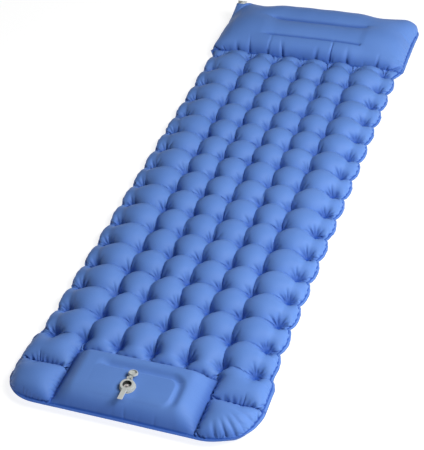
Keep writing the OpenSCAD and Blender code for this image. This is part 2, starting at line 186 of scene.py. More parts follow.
class Sheet:
    """One coated sheet on the grid, solved by position based dynamics.

    su and sv say how much longer the cloth is cut than the plan; kd, kb and kc are its stiffness on
    the diagonal, in bending and against being pressed together.
    """

    def __init__(self, PX, PY, su, sv, design, dmask, press, kd, kb, kc):
        ny, nx = PX.shape
        P = np.stack([PX, PY, np.zeros_like(PX)])
        size = lambda D: np.sqrt((D ** 2).sum(0))
        U, V = P[:, :, 1:] - P[:, :, :-1], P[:, 1:] - P[:, :-1]
        Lu = size(U) * (su[:, 1:] + su[:, :-1]) / 2
        Lv = size(V) * (sv[1:] + sv[:-1]) / 2
        Uq, Vq = (U[:, 1:] + U[:, :-1]) / 2, (V[:, :, 1:] + V[:, :, :-1]) / 2
        cos = (Uq * Vq).sum(0) / (size(Uq) * size(Vq))
        a, b = (Lu[1:] + Lu[:-1]) / 2, (Lv[:, 1:] + Lv[:, :-1]) / 2
        D1 = np.sqrt(a * a + b * b + 2 * a * b * cos)
        D2 = np.sqrt(a * a + b * b - 2 * a * b * cos)
        if design is not None:
            Q, e = np.stack([PX, PY, design]), TAUT
            mu, mv = dmask[:, 1:] & dmask[:, :-1], dmask[1:] & dmask[:-1]
            mq = mu[1:] & mu[:-1]
            Lu = np.where(mu, e * size(Q[:, :, 1:] - Q[:, :, :-1]), Lu)
            Lv = np.where(mv, e * size(Q[:, 1:] - Q[:, :-1]), Lv)
            D1 = np.where(mq, e * size(Q[:, 1:, 1:] - Q[:, :-1, :-1]), D1)
            D2 = np.where(mq, e * size(Q[:, 1:, :-1] - Q[:, :-1, 1:]), D2)
        self.passes = []
        every = slice(None)

        def add(p, q, L, k, bend=False):
            self.passes.append(((every,) + p, (every,) + q, L.astype(F).copy(), F(k), bend))

        for o in (0, 1):
            n = (nx - o) // 2
            s0, s1 = slice(o, o + 2 * n, 2), slice(o + 1, o + 1 + 2 * n, 2)
            add((every, s0), (every, s1), Lu[:, o::2][:, :n], .5)
        for o in (0, 1):
            n = (ny - o) // 2
            s0, s1 = slice(o, o + 2 * n, 2), slice(o + 1, o + 1 + 2 * n, 2)
            left, right = slice(0, nx - 1), slice(1, nx)
            add((s0, every), (s1, every), Lv[o::2][:n], .5)
            add((s0, left), (s1, right), D1[o::2][:n], .5 * kd)
            add((s0, right), (s1, left), D2[o::2][:n], .5 * kd)
        Bu, Bv = Lu[:, 1:] + Lu[:, :-1], Lv[1:] + Lv[:-1]
        for o in range(4):
            j = np.arange(o, nx - 2, 4)
            s0, s1 = slice(o, j[-1] + 1, 4), slice(o + 2, j[-1] + 3, 4)
            add((every, s0), (every, s1), Bu[:, o::4][:, :len(j)], .5 * kb, True)
            j = np.arange(o, ny - 2, 4)
            s0, s1 = slice(o, j[-1] + 1, 4), slice(o + 2, j[-1] + 3, 4)
            add((s0, every), (s1, every), Bv[o::4][:len(j)], .5 * kb, True)
        self.press = press.astype(F)
        self.area = float(np.median(Lu)) * float(np.median(Lv))
        self.kc = F(kc)

    def start(self, X):
        self.X, self.V, self.it = X.astype(F).copy(), np.zeros_like(X, F), 0

    def push(self, p):
        """Air pressure on every point, along the sheet's normal."""
        X = self.X
        tu, tv, n = np.empty_like(X), np.empty_like(X), np.empty_like(X)
        tu[:, :, 1:-1] = X[:, :, 2:] - X[:, :, :-2]
        tu[:, :, 0], tu[:, :, -1] = X[:, :, 1] - X[:, :, 0], X[:, :, -1] - X[:, :, -2]
        tv[:, 1:-1] = X[:, 2:] - X[:, :-2]
        tv[:, 0], tv[:, -1] = X[:, 1] - X[:, 0], X[:, -1] - X[:, -2]
        n[0] = tu[1] * tv[2] - tu[2] * tv[1]
        n[1] = tu[2] * tv[0] - tu[0] * tv[2]
        n[2] = tu[0] * tv[1] - tu[1] * tv[0]
        n *= F(.25 * p / self.area) * self.press
        return n

    def step(self, p, damp, inner):
        if self.it % 3 == 0:
            self.air = self.push(p)
        self.V *= F(damp)
        self.V += self.air
        self.prev = self.X.copy()
        X = self.X
        X += self.V
        for a, b, L, k, bend in self.passes * inner:
            d = X[b] - X[a]
            s = 1 - L / np.sqrt(d[0] * d[0] + d[1] * d[1] + d[2] * d[2])
            s = np.minimum(s, 0) if bend else np.maximum(s, s * self.kc)
            s *= k
            d *= s
            X[a] += d
            X[b] -= d
        self.it += 1

    def close(self):
        self.V = np.clip(self.X - self.prev, -2, 2)


def build(q, kd, kb, kc):
    """The grid at detail q, its two sheets, and the welds that hold them together."""
    g = Grid(q)
    PX, PY = plan(g)
    ny, nx = PX.shape
    Y, aX = g.y[:, None] * np.ones((1, nx)), np.abs(np.ones((ny, 1)) * g.x[None])
    foot, pillow = Y < PUMP_REAR, Y > PILLOW_SEAM
    body, outer = ~foot & ~pillow, aX > COL_DOT
    side = foot & (aX > COL_2)
    half_cell, last_cell = Y < FIRST_DOT, Y > LAST_DOT
    # how much longer the flat-cut cloth is than the finished pad, across and along
    su, sv = np.full((ny, nx), 1.16), np.full((ny, nx), 1.16)
    su = np.where((aX > COL_2) & body, 1.14, su)
    su = np.where(body & outer & (Y > FIRST_DOT), 1.18, su)
    inner = body & (aX < 260)
    su += np.where(inner, .14 * np.exp(-((Y + 775) / 26) ** 2), 0)
    su += np.where(inner, .12 * np.exp(-((Y - 675) / 26) ** 2), 0)
    su = np.where(side, 1.17, su)
    sv = np.where(side & (Y <= CREASE), 1.22, sv)
    sv = np.where(half_cell & (Y > CREASE) & (aX > COL_2), 1.2, sv)
    sv = np.where(body & half_cell & (aX <= COL_2), 1.2, sv)
    sv = np.where(body & last_cell, 1.12, sv)
    sv += np.where(body & (Y > FIRST_DOT) & (Y < LAST_DOT), .09 * smooth((aX - 262) / 25), 0)
    end = smooth((aX - 150) / 60)
    rise = np.where(Y < RECESS_FRONT, 1.36, np.where(Y < RECESS_REAR, 1.04, 1.27))
    corner = smooth((aX - 235) / 70) * smooth((Y - 880) / 80)
    su = np.where(pillow, 1.03 + .2 * corner, su)
    sv = np.where(pillow, rise + (1.13 - rise) * end + .25 * corner, sv)
    su = np.where(pillow & outer, 1.3 + .2 * corner, su)
    flange = (aX > SEAM_X) | (Y < FOOT_SEAM) | (Y > HEAD_SEAM)
    su = np.where(aX > SEAM_X, 1.0, su)
    sv = np.where((Y < FOOT_SEAM) | (Y > HEAD_SEAM), 1.0, sv)
    pump = foot & (aX <= COL_2) & (Y >= FOOT_SEAM)
    taut = (Y <= PUMP_REAR) & (aX <= COL_2 + .01) & (Y >= FOOT_SEAM)
    # air pressure, as a share of the quilted middle's
    air = np.where(flange, 0., 1.)
    air = np.where(pillow, .35 * air, air)
    air = np.where(outer & body, .6 * air, air)
    air = np.where(side | (half_cell & (aX > COL_2)), .6 * air, air)
    air = np.where(body & (half_cell | last_cell), .5, air)
    top = Sheet(PX, PY, su, sv, pump_design(PX, PY), taut, np.where(pump, .05, air), kd, kb, kc)
    under_u, under_v = np.where(pump, 1.06, su), np.where(pump, 1.08, sv)
    low = Sheet(PX, PY, under_u, under_v, None, None, -np.where(pump, .25, air), kd, kb, kc)
    # welds: where both sheets meet, how firmly each is held, and at what height
    weld = flange.copy()
    r, (l2, r2) = g.ry, g.cx["c2"]
    for j in g.cx["seam"]:
        weld[:, j] = True
    for n in ("fseam", "rseam"):
        weld[r[n]] = True
    hold, zt = np.where(weld, .02, 0.), np.full((ny, nx), WELD_Z)
    tip = g.cx["tip"][1] - g.cx["seam"][1]
    waves = np.random.default_rng(5)
    for cols, out in ((slice(0, tip), slice(None)), (slice(nx - tip, nx), slice(None, None, -1))):
        ruffle = sum(np.sin(g.y / waves.uniform(5, 14) + waves.uniform(0, 6)) for _ in range(4))
        zt[:, cols] -= (np.linspace(1, .3, tip)[None] * (6 + 1.6 * ruffle[:, None]))[:, out]

    def line(rows, cols, a, z=WELD_Z):
        weld[rows, cols] = True
        hold[rows, cols] = a
        zt[rows, cols] = z

    line(r["prear"], slice(l2, r2 + 1), .15)
    line(r["crease"], slice(0, l2 + 1), .15, CREASE_Z)
    line(r["crease"], slice(r2, nx), .15, CREASE_Z)
    line(slice(0, r["prear"] + 1), l2, .15)
    line(slice(0, r["prear"] + 1), r2, .15)
    line(r["fseam"], slice(l2, r2 + 1), .2)
    line(r["pseam"], slice(None), .12, PILLOW_SEAM_Z)
    # the dots, each a little off its place
    rng = np.random.default_rng(7)
    tx, ty = PX.copy(), PY.copy()
    for k in range(ROW_COUNT):
        i = r["r%d" % k]
        for name in DOT_COLUMNS:
            for j in sorted(set(g.cx[name])):
                m = (PX - PX[i, j]) ** 2 + (PY - PY[i, j]) ** 2 < 6.2 ** 2
                m[i, j] = True
                jx, jy = rng.normal(0, 1.6, 2)
                tx[m] += jx
                ty[m] += jy
                weld |= m
                hold[m], zt[m] = 1, DOT_Z
    return g, PX, PY, top, low, weld, hold, np.stack([tx, ty, zt]).astype(F)


def top_holds(g, PX, PY):
    """What holds the top sheet alone: the recess baffles and the two valves' patches."""
    a, T = np.zeros(PX.shape), np.stack([PX, PY, np.zeros_like(PX)])
    for n, z in (("b1", 88.5), ("b2", 89.5)):
        i = g.ry[n]
        m = (PX[i] > -150) & (PX[i] < 178)
        T[2, i, m], a[i, m] = z, .35
    m = PX ** 2 + (PY - INLET_Y) ** 2 < 25 ** 2
    T[2][m], a[m] = PANEL_Z, 1
    m = (PX - DEFLATE_X) ** 2 + (PY - DEFLATE_Y) ** 2 < 21 ** 2
    T[2][m], a[m] = DEFLATE_Z - (PY[m] - DEFLATE_Y) * DEFLATE_SLOPE, 1
    return a, T


def foam(X, Y):
    """Top of the foam block under the pump panel, with rounded edges; low outside it."""
    dx = np.clip((118 - np.abs(X - 2)) / 9, 0, 1)
    dy = np.clip((58 - np.abs(Y + 911)) / 9, 0, 1)
    edge = lambda d: np.sqrt(1 - (1 - d) ** 2) * .12 + .88 * (d > 0)
    return -50 + 122.5 * np.minimum(edge(dx), edge(dy))


def resample(state, g):
    """Both sheets of an earlier state, on the finer grid g."""
    g0, sheets = state[0], state[1:3]
    fx = np.interp(g.xi, g0.xi, np.arange(g0.nx))
    fy = np.interp(g.yi, g0.yi, np.arange(g0.ny))
    ix, iy = np.minimum(fx.astype(int), g0.nx - 2), np.minimum(fy.astype(int), g0.ny - 2)
    wx, wy = (fx - ix)[None, None, :], (fy - iy)[None, :, None]
    out = []
    for A in sheets:
        lo = A[:, iy][:, :, ix] * (1 - wx) + A[:, iy][:, :, ix + 1] * wx
        hi = A[:, iy + 1][:, :, ix] * (1 - wx) + A[:, iy + 1][:, :, ix + 1] * wx
        out.append(lo * (1 - wy) + hi * wy)
    return out


def inflate(q, steps, pool, start=None, p=.02, kd=.35, kb=.1, kc=.05, damp=.96, inner=1):
    """Blows the pad up from flat sheets, or goes on from an earlier, coarser state."""
    g, PX, PY, top, low, weld, hold, goal = build(q, kd, kb, kc)
    if start is None:
        z = np.random.default_rng(11).normal(0, .3, PX.shape)
        puff = (ramp((PY - PILLOW_SEAM) / 100) * ramp((HEAD_SEAM - PY) / 80)
                * ramp((SEAM_X - np.abs(PX)) / 100))
        T, B = np.stack([PX, PY, 26 + z + 60 * puff]), np.stack([PX, PY, 18 - z])
    else:
        T, B = resample(start, g)
    top.start(T)
    low.start(B)
    a, E = top_holds(g, PX, PY)
    em = a > 0
    ea, eT = a[em].astype(F), E[:, em].astype(F)
    wi, wj = np.nonzero(weld)
    wa, wT = hold[wi, wj].astype(F), goal[:, wi, wj]
    block = foam(PX, PY).astype(F)
    bm = block > 0
    for it in range(steps):
        now = p * min(1, .2 + it / 60)
        for job in [pool.submit(s.step, now, damp, inner) for s in (top, low)]:
            job.result()
        T, B = top.X, low.X
        w = (T[:, wi, wj] + B[:, wi, wj]) * F(.5)
        w += wa * (wT - w)
        T[:, wi, wj] = w
        B[:, wi, wj] = w
        T[2][em] += ea * (eT[2] - T[2][em])
        T[:2, em] += (ea == 1) * (eT[:2] - T[:2, em])
        np.maximum(B[2], 0, out=B[2])
        np.maximum(T[2], B[2], out=T[2])
        T[2][bm] = np.maximum(T[2][bm], block[bm])
        top.close()
        low.close()
    return g, top.X, low.X


# ---------------------------------------------------------------- materials
def shader(name, **values):
    """A new material with a Principled shader; values name its sockets."""
    m = bpy.data.materials.new(name)
    m.use_nodes = True
    b = m.node_tree.nodes["Principled BSDF"]
    for k, v in values.items():
        b.inputs[k.replace("_", " ")].default_value = v
    return m, m.node_tree, b


def node(tree, kind, **values):
    """A new shader node; values name its sockets or its own properties."""
    n = tree.nodes.new(kind)
    for k, v in values.items():
        if k in n.inputs:
            n.inputs[k].default_value = v
        else:
            setattr(n, k, v)
    return n


def fabric(name, light, dark, weave_mm=0.45):
    """Coated plain-weave nylon: fine weave bump, satin sheen, slow colour drift."""
    m, t, b = shader(name, Roughness=.54, Specular_IOR_Level=.14, Sheen_Weight=.04,
                     Sheen_Roughness=.45, Metallic=0.0)
    b.inputs["Sheen Tint"].default_value = (.55, .68, 1, 1)
    at = node(t, "ShaderNodeAttribute", attribute_name="cloth")
    drift = node(t, "ShaderNodeTexNoise", Scale=5.0, Detail=3.0, Roughness=.55)
    fine = node(t, "ShaderNodeTexNoise", Scale=260.0, Detail=2.0)
    t.links.new(at.outputs["Vector"], drift.inputs["Vector"])
    t.links.new(at.outputs["Vector"], fine.inputs["Vector"])
    mix = node(t, "ShaderNodeMixRGB", blend_type="MIX")
    mix.inputs["Color1"].default_value = (*dark, 1)
    mix.inputs["Color2"].default_value = (*light, 1)
    add = node(t, "ShaderNodeMath", operation="MULTIPLY_ADD")
    t.links.new(fine.outputs["Fac"], add.inputs[0])
    add.inputs[1].default_value = .25
    t.links.new(drift.outputs["Fac"], add.inputs[2])
    ramp_ = node(t, "ShaderNodeMapRange")
    for k, v in zip(("From Min", "From Max", "To Min", "To Max"), (.4, .9, 0, 1)):
        ramp_.inputs[k].default_value = v
    t.links.new(add.outputs[0], ramp_.inputs["Value"])
    t.links.new(ramp_.outputs["Result"], mix.inputs["Fac"])
    # pressed welds are darker than the free cloth; the same dark blue mix also paints shade round the
    # dots, in the pump's side valleys, along the front slopes and at the pleat bases
    weld = node(t, "ShaderNodeAttribute", attribute_name="weld")
    weld_and_shade_mix = node(t, "ShaderNodeMixRGB", blend_type="MIX")
    weld_and_shade_mix.inputs["Color2"].default_value = (.003, .05, .34, 1)
    t.links.new(weld.outputs["Fac"], weld_and_shade_mix.inputs["Fac"])
    t.links.new(mix.outputs["Color"], weld_and_shade_mix.inputs["Color1"])
    t.links.new(weld_and_shade_mix.outputs["Color"], b.inputs["Base Color"])
    # weave: crossed ridges
    s = 2 * math.pi / (weave_mm * MM)
    sep = node(t, "ShaderNodeSeparateXYZ")
    t.links.new(at.outputs["Vector"], sep.inputs[0])
    waves = []
    for axis in ("X", "Y"):
        k = node(t, "ShaderNodeMath", operation="MULTIPLY")
        k.inputs[1].default_value = s / 2
        t.links.new(sep.outputs[axis], k.inputs[0])
        w = node(t, "ShaderNodeMath", operation="SINE")
        t.links.new(k.outputs[0], w.inputs[0])
        waves.append(w)
    prod = node(t, "ShaderNodeMath", operation="MULTIPLY")
    t.links.new(waves[0].outputs[0], prod.inputs[0])
    t.links.new(waves[1].outputs[0], prod.inputs[1])
    bump = node(t, "ShaderNodeBump", Strength=.18, Distance=.0001)
    t.links.new(prod.outputs[0], bump.inputs["Height"])
    t.links.new(bump.outputs["Normal"], b.inputs["Normal"])
    return m


def bore_painted_shade(t, geo, skin):
    """Painted shade on the wall of the inlet port, found by its distance from the port's axis."""
    away = node(t, "ShaderNodeVectorMath", operation="SUBTRACT")
    t.links.new(geo.outputs["Object"], away.inputs[0])
    away.inputs[1].default_value = (0, -.923, 0)
    flat = node(t, "ShaderNodeVectorMath", operation="MULTIPLY")
    t.links.new(away.outputs[0], flat.inputs[0])
    flat.inputs[1].default_value = (1, 1, 0)
    size = node(t, "ShaderNodeVectorMath", operation="LENGTH")
    t.links.new(flat.outputs[0], size.inputs[0])
    height = node(t, "ShaderNodeSeparateXYZ")
    t.links.new(geo.outputs["Object"], height.inputs[0])
    gates = []
    for source, lo, hi, rising in ((size.outputs["Value"], .0084, .0092, True),
                                   (size.outputs["Value"], .0124, .0127, False),
                                   (height.outputs["Z"], .0862, .0866, False)):
        gate = node(t, "ShaderNodeMapRange")
        ends = (lo, hi, 0, 1) if rising else (lo, hi, 1, 0)
        for k, v in zip(("From Min", "From Max", "To Min", "To Max"), ends):
            gate.inputs[k].default_value = v
        t.links.new(source, gate.inputs["Value"])
        gates.append(gate.outputs["Result"])
    while len(gates) > 1:
        both = node(t, "ShaderNodeMath", operation="MULTIPLY")
        t.links.new(gates.pop(), both.inputs[0])
        t.links.new(gates.pop(), both.inputs[1])
        gates.append(both.outputs[0])
    # near-black colour painted on the bore wall as its shade
    bore_shade = node(t, "ShaderNodeMixRGB", blend_type="MIX")
    bore_shade.inputs["Color2"].default_value = (.035, .04, .04, 1)
    t.links.new(gates[0], bore_shade.inputs["Fac"])
    t.links.new(skin, bore_shade.inputs["Color1"])
    return bore_shade.outputs["Color"]


def moulded(name, color, rough=.42, grain=.00003, shade_bore=False):
    """Moulded plastic or rubber with a fine skin texture; the port's wall may carry painted shade."""
    m, t, b = shader(name, Roughness=rough, Specular_IOR_Level=.45)
    geo = node(t, "ShaderNodeTexCoord")
    cloud = node(t, "ShaderNodeTexNoise", Scale=90.0, Detail=3.0)
    fine = node(t, "ShaderNodeTexNoise", Scale=1800.0, Detail=2.0)
    for n in (cloud, fine):
        t.links.new(geo.outputs["Object"], n.inputs["Vector"])
    mix = node(t, "ShaderNodeMixRGB", blend_type="MIX")
    mix.inputs["Color1"].default_value = (*[c * .88 for c in color], 1)
    mix.inputs["Color2"].default_value = (*[min(1, c * 1.08) for c in color], 1)
    t.links.new(cloud.outputs["Fac"], mix.inputs["Fac"])
    skin = mix.outputs["Color"]
    if shade_bore:
        skin = bore_painted_shade(t, geo, skin)
    t.links.new(skin, b.inputs["Base Color"])
    bump = node(t, "ShaderNodeBump", Strength=.3, Distance=grain)
    t.links.new(fine.outputs["Fac"], bump.inputs["Height"])
    t.links.new(bump.outputs["Normal"], b.inputs["Normal"])
    return m


BLUE = fabric("pad_fabric", (.130, .262, .64), (.110, .232, .595))
GREY = moulded("valve_grey", (.52, .54, .52))
PORT = moulded("port_grey", (.55, .57, .55), shade_bore=True)
PIN = moulded("pin_grey", (.45, .47, .47), .25)
SILICONE = moulded("flap_silicone", (.62, .56, .54), .35)
SEAL = moulded("seal_rubber", (.03, .032, .035), .6)

for names, mat in (
    (("inlet_cap", "deflate_base", "deflate_plug", "transfer_seat"), GREY),
    (("inlet_base", "inlet_plug"), PORT),
    (("inlet_hinge_pin",), PIN), (("inlet_flap",), SILICONE),
    (("inlet_gasket", "deflate_gasket", "transfer_flap"), SEAL),
    (("pump_panel", "pump_skirt", "pillow_baffle_front", "pillow_baffle_rear", "pump_chamber_wall",
      "pump_foam"), BLUE),
):
    for n in names:
        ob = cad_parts[n]
        ob.data.materials.clear()
        ob.data.materials.append(mat)


# ---------------------------------------------------------------- fine folds
# Where the deep pleats of the pillow's front slope and the two ties of its recess lie.
PLEATS = (-251, -206, -137, -80, 40, 92, 153, 260)
TIES = (762, 858)


def kernel(pos, sigma):
    """Gaussian average along one grid direction, allowing for its uneven spacing."""
    w = np.exp(-.5 * ((pos[:, None] - pos[None]) / sigma) ** 2) * np.gradient(pos)[None]
    return w / w.sum(1, keepdims=True)


def calm(g, X, PX, PY):
    """Evens out what the uneven grid leaves in the wide pillow and in the narrow flange."""
    X = X.copy()
    flat = np.stack([PX, PY, 0 * PX])
    rows = slice(g.ry["pseam"] + 1, g.ry["rseam"])
    U = (X - flat)[:, rows]
    w = smooth((300 - np.abs(g.x)) / 70) * smooth((g.x + 285) / 20)
    X[:, rows] += w * (U @ kernel(g.x, 26).T - U)
    across, along = kernel(g.x, 9), kernel(g.y, 5)
    for rows in (slice(0, g.ry["fseam"]), slice(g.ry["rseam"] + 1, g.ny)):
        X[:, rows] = flat[:, rows] + (X - flat)[:, rows] @ across.T
    lo, hi = g.cx["seam"]
    for cols in (slice(0, lo), slice(hi + 1, g.nx)):
        X[:, :, cols] = flat[:, :, cols] + np.einsum("ab,kbc->kac", along, (X - flat)[:, :, cols])
    # the notches between the outer lobes and the four corners, where spare cloth would cross itself
    U = X - flat
    soft = np.einsum("ab,kbc->kac", kernel(g.y, 6), U) @ kernel(g.x, 6).T
    near = np.zeros(PX.shape)
    for k in range(ROW_COUNT):
        near = np.maximum(near, 1 - smooth((np.abs(g.y - g.y[g.ry["r%d" % k]])[:, None] - 5) / 10))
    w = near * smooth((np.abs(g.x) - 311) / 9)
    corner = smooth((np.abs(g.x) - 286) / 20) * smooth((np.abs(g.y)[:, None] - 948) / 20)
    w = np.maximum(w, corner * smooth((from_deflate(PX, PY) - 22) / 8))
    return X + w * (soft - U)


def from_inlet(PX, PY):
    return np.hypot(PX, PY - INLET_Y)


def from_deflate(PX, PY):
    return np.hypot(PX - DEFLATE_X, PY - DEFLATE_Y)


def unit_normals(X):
    tu, tv = np.gradient(X, axis=2), np.gradient(X, axis=1)
    n = np.cross(tu, tv, axis=0)
    return n / np.sqrt((n ** 2).sum(0))


def dot_folds(g, PX, PY):
    """Depth of the fine folds that fan out of every weld dot."""
    rng = np.random.default_rng(21)
    D = np.zeros(PX.shape)
    for k in range(ROW_COUNT):
        i = g.ry["r%d" % k]
        for name in DOT_COLUMNS:
            for j in sorted(set(g.cx[name])):
                rows = slice(*np.searchsorted(g.y, (g.y[i] - 47, g.y[i] + 47)))
                cols = slice(*np.searchsorted(g.x, (g.x[j] - 47, g.x[j] + 47)))
                dx, dy = PX[rows, cols] - PX[i, j], PY[rows, cols] - PY[i, j]
                r, th = np.hypot(dx, dy), np.arctan2(dy, dx)
                n = rng.integers(12, 17)
                for m in range(n):
                    t = th - 2 * math.pi * (m + rng.uniform(-.3, .3)) / n
                    reach, depth = rng.uniform(24, 46), rng.uniform(1.8, 4.6)
                    side = r * np.sin(t) / (1.2 + .085 * r)
                    fade = smooth((r - 6) / 9) * (1 - smooth((r / reach - .45) / .55))
                    D[rows, cols] += depth * fade * np.exp(-side ** 2) * (np.cos(t) > 0)
    return D


def line_folds(D, along, off, spots, reach, depth, width, rng):
    """Adds folds that run square off a seam; off is the distance from it, negative is skipped."""
    near = (off > -.01) & (off < 1.6 * reach)
    s, d = along[near], off[near]
    out = np.zeros(len(s))
    for spot in spots:
        r, h = reach * rng.uniform(.6, 1.5), depth * rng.uniform(.5, 1.2)
        w = width * rng.uniform(.7, 1.3)
        lean = rng.normal(0, .12)
        side = (s - spot - lean * d) / (w * (1 + .5 * d / r))
        out += h * np.exp(-side ** 2) * (1 - smooth(d / r)) * smooth((d + 2) / 4)
    D[near] += out


def spread(a, b, gap, rng):
    """Positions from a to b at about the given gap."""
    n = max(1, int((b - a) / gap))
    return a + (b - a) * (np.arange(n) + .5 + rng.uniform(-.32, .32, n)) / n


def seam_folds(g, PX, PY):
    """Depth of the puckers along the seams."""
    rng = np.random.default_rng(33)
    D = np.zeros(PX.shape)
    GY, GX = g.y[:, None] + 0 * PX, g.x[None] + 0 * PX
    for sgn in (-1, 1):
        inside = SEAM_X - sgn * GX
        for lo, hi, gap, reach, depth in ((-985, -875, 17, 30, 2.6), (705, 985, 21, 26, 2.6)):
            m = (GY > lo - 6) & (GY < hi + 6)
            line_folds(D, GY, np.where(m, inside, -1), spread(lo, hi, gap, rng), reach, depth, 3, rng)
        cell = (sgn * GX > COL_2) & (GY < -820)
        for off in (GY - FOOT_SEAM, CREASE - GY, GY - CREASE):
            line_folds(D, sgn * GX, np.where(cell, off, -1), spread(195, 322, 19, rng), 17, 1.6, 2.6, rng)
        valley = np.where(GY < PUMP_REAR, sgn * GX - COL_2, -1)
        line_folds(D, GY, valley, spread(-985, -806, 21, rng), 17, 1.5, 3, rng)
    front = np.where(GY > PILLOW_SEAM, GY - PILLOW_SEAM, -1)
    line_folds(D, PX, front, PLEATS, 66, 7.5, 2.4, rng)
    line_folds(D, PX, front, PLEATS, 36, 6.5, 7.0, rng)
    line_folds(D, PX, front, spread(-320, 320, 30, rng), 16, 1.8, 2.6, rng)
    rear = np.where(GY > PILLOW_SEAM, HEAD_SEAM - GY, -1)
    line_folds(D, GX, rear, spread(-325, 325, 30, rng), 24, 2.2, 3.6, rng)
    slope = np.where(np.abs(GX) < COL_2, GY - FOOT_SEAM, -1)
    line_folds(D, GX, slope, spread(-180, 180, 33, rng), 20, 1.0, 3.4, rng)
    # big pleats that fan round the right foot corner
    cx, cy = 232, -898
    r, th = np.hypot(PX - cx, PY - cy), np.arctan2(PY - cy, PX - cx)
    clear = smooth(np.minimum(GY - FOOT_SEAM, SEAM_X - GX) / 7)
    for turn in (-72, -55, -41, -27, -10):
        side = r * np.sin(th - math.radians(turn)) / rng.uniform(3, 4.4)
        fade = smooth((r - 42) / 40) * clear * (np.cos(th - math.radians(turn)) > 0)
        D += rng.uniform(3.8, 6) * fade * np.exp(-side ** 2)
    return D


def welds_and_painted_shade(g, PX, PY):
    """How dark the cloth is: the rim, the dots and the weld lines as pressed welds, plus painted shade
    round the dots, in the pump's side valleys, along the foot's front slope and the pillow's front base,
    and at the pleat bases.
    """
    GY, GX = g.y[:, None] + 0 * PX, g.x[None] + 0 * PX
    rim = np.maximum(np.abs(GX) - SEAM_X, np.abs(GY) - HEAD_SEAM)
    W = .85 * (1 - smooth((np.abs(rim) - 1) / 2.5)) + .6 * smooth((rim - 5) / 2)
    half = 2.2
    for name, lo, hi in (("crease", COL_2, 400), ("prear", 0, COL_2 + 2), ("pseam", 0, 400)):
        m = (np.abs(GX) >= lo) & (np.abs(GX) <= hi)
        W = np.maximum(W, .6 * m * (1 - smooth((np.abs(GY - g.y[g.ry[name]]) - half) / 3)))
    m, valley = GY <= PUMP_REAR, np.abs(np.abs(GX) - COL_2)
    W = np.maximum(W, .6 * m * (1 - smooth((valley - half) / 3)))
    # painted shade across the pump's side valleys
    W = np.maximum(W, .5 * m * (1 - smooth(valley / 20)))
    # painted shade along the base of the pillow's front slope
    pillow_base_shade = (GY > PILLOW_SEAM) * (1 - smooth((GY - PILLOW_SEAM) / 40))
    W = np.maximum(W, .4 * pillow_base_shade)
    # painted shade along the foot's front slope
    W = np.maximum(W, .5 * (1 - smooth((GY - FOOT_SEAM) / 42)))
    # the two ties of the head recess are welded to the cover; their dark lines are partly weld and partly
    # painted shade of the creases
    tied = smooth((PX + 160) / 30) * smooth((190 - PX) / 10)
    front, rear = (np.exp(-((PY - y) / 4) ** 2) for y in TIES)
    W = np.maximum(W, tied * (.5 * front + .4 * rear))
    # painted shade at the base of each pleat
    for spot in PLEATS:
        W = np.maximum(W, .55 * pillow_base_shade * np.exp(-((PX - spot) / 8) ** 2))
    for k in range(ROW_COUNT):
        i = g.ry["r%d" % k]
        for name in DOT_COLUMNS:
            for j in set(g.cx[name]):
                rows = slice(*np.searchsorted(g.y, (g.y[i] - 32, g.y[i] + 32)))
                cols = slice(*np.searchsorted(g.x, (g.x[j] - 32, g.x[j] + 32)))
                r = np.hypot(PX[rows, cols] - PX[i, j], PY[rows, cols] - PY[i, j])
                # the dot itself is a pressed weld; the wider fade out to 30 mm round it is painted shade
                dot_weld_and_shade = np.maximum(.8 * (1 - smooth((r - 4.5) / 4)), .75 * (1 - smooth(r / 30)))
                W[rows, cols] = np.maximum(W[rows, cols], dot_weld_and_shade)
    return W


def stretch_cover(g, X, PX, PY):
    """Lays the pump's cover taut over its foam, keeping the welds where the solver left them."""
    rows = slice(g.ry["fseam"], g.ry["prear"] + 1)
    cols = slice(g.cx["c2"][0], g.cx["c2"][1] + 1)
    Q = np.stack([PX, PY, pump_design(PX, PY)])[:, rows, cols]
    U = X[:, rows, cols] - Q
    s = ((g.x[cols] - g.x[cols][0]) / np.ptp(g.x[cols]))[None, None]
    t = ((g.y[rows] - g.y[rows][0]) / np.ptp(g.y[rows]))[None, :, None]
    a0, a1 = 1 - smooth(s / .1), 1 - smooth((1 - s) / .1)
    b0, b1 = 1 - smooth(t / .16), 1 - smooth((1 - t) / .16)
    lo, hi, left, right = U[:, :1], U[:, -1:], U[:, :, :1], U[:, :, -1:]
    edge = b0 * lo + b1 * hi + a0 * left + a1 * right
    edge -= b0 * (a0 * lo[:, :, :1] + a1 * lo[:, :, -1:])
    edge -= b1 * (a0 * hi[:, :, :1] + a1 * hi[:, :, -1:])
    X[:, rows, cols] = Q + edge
    w = 1 - smooth((from_inlet(PX, PY) - 26) / 16)
    X[2] += w * (PANEL_Z - X[2])


def head_recess(PX, PY):
    """How far the head recess of the pillow sinks, with a crease at its front and rear edge."""
    across = smooth((PX + 175) / 50)
    box = smooth((PY - 756) / 12) * smooth((865 - PY) / 12) * smooth((200 - PX) / 30)
    creases = sum(np.exp(-((PY - y) / 3.8) ** 2) for y in TIES)
    return across * (3.6 * box + 6.6 * creases * smooth((190 - PX) / 10))


def foam_print(PX, PY):
    """How far the cover sinks just outside the foam block's edge, deepest behind and at the right."""
    # distance outside the block's outline, whose corners are rounded by turn
    dx = np.maximum(PX - 122, -112 - PX)
    dy = np.maximum(PY + 866, -955 - PY)
    turn = np.where(PX > 0, 26, 14)
    inner = np.minimum(np.maximum(dx, dy) + turn, 0)
    out = np.hypot(np.maximum(dx + turn, 0), np.maximum(dy + turn, 0)) + inner - turn
    keep = smooth((PX + 120) / 44) * (.25 + .75 * smooth((PY + 962) / 30))
    keep = keep * (1 + .35 * smooth((PY + 874) / 8))
    return 7.5 * keep * smooth((out + 3) / 9) * (1 - smooth((out - 7) / 22))


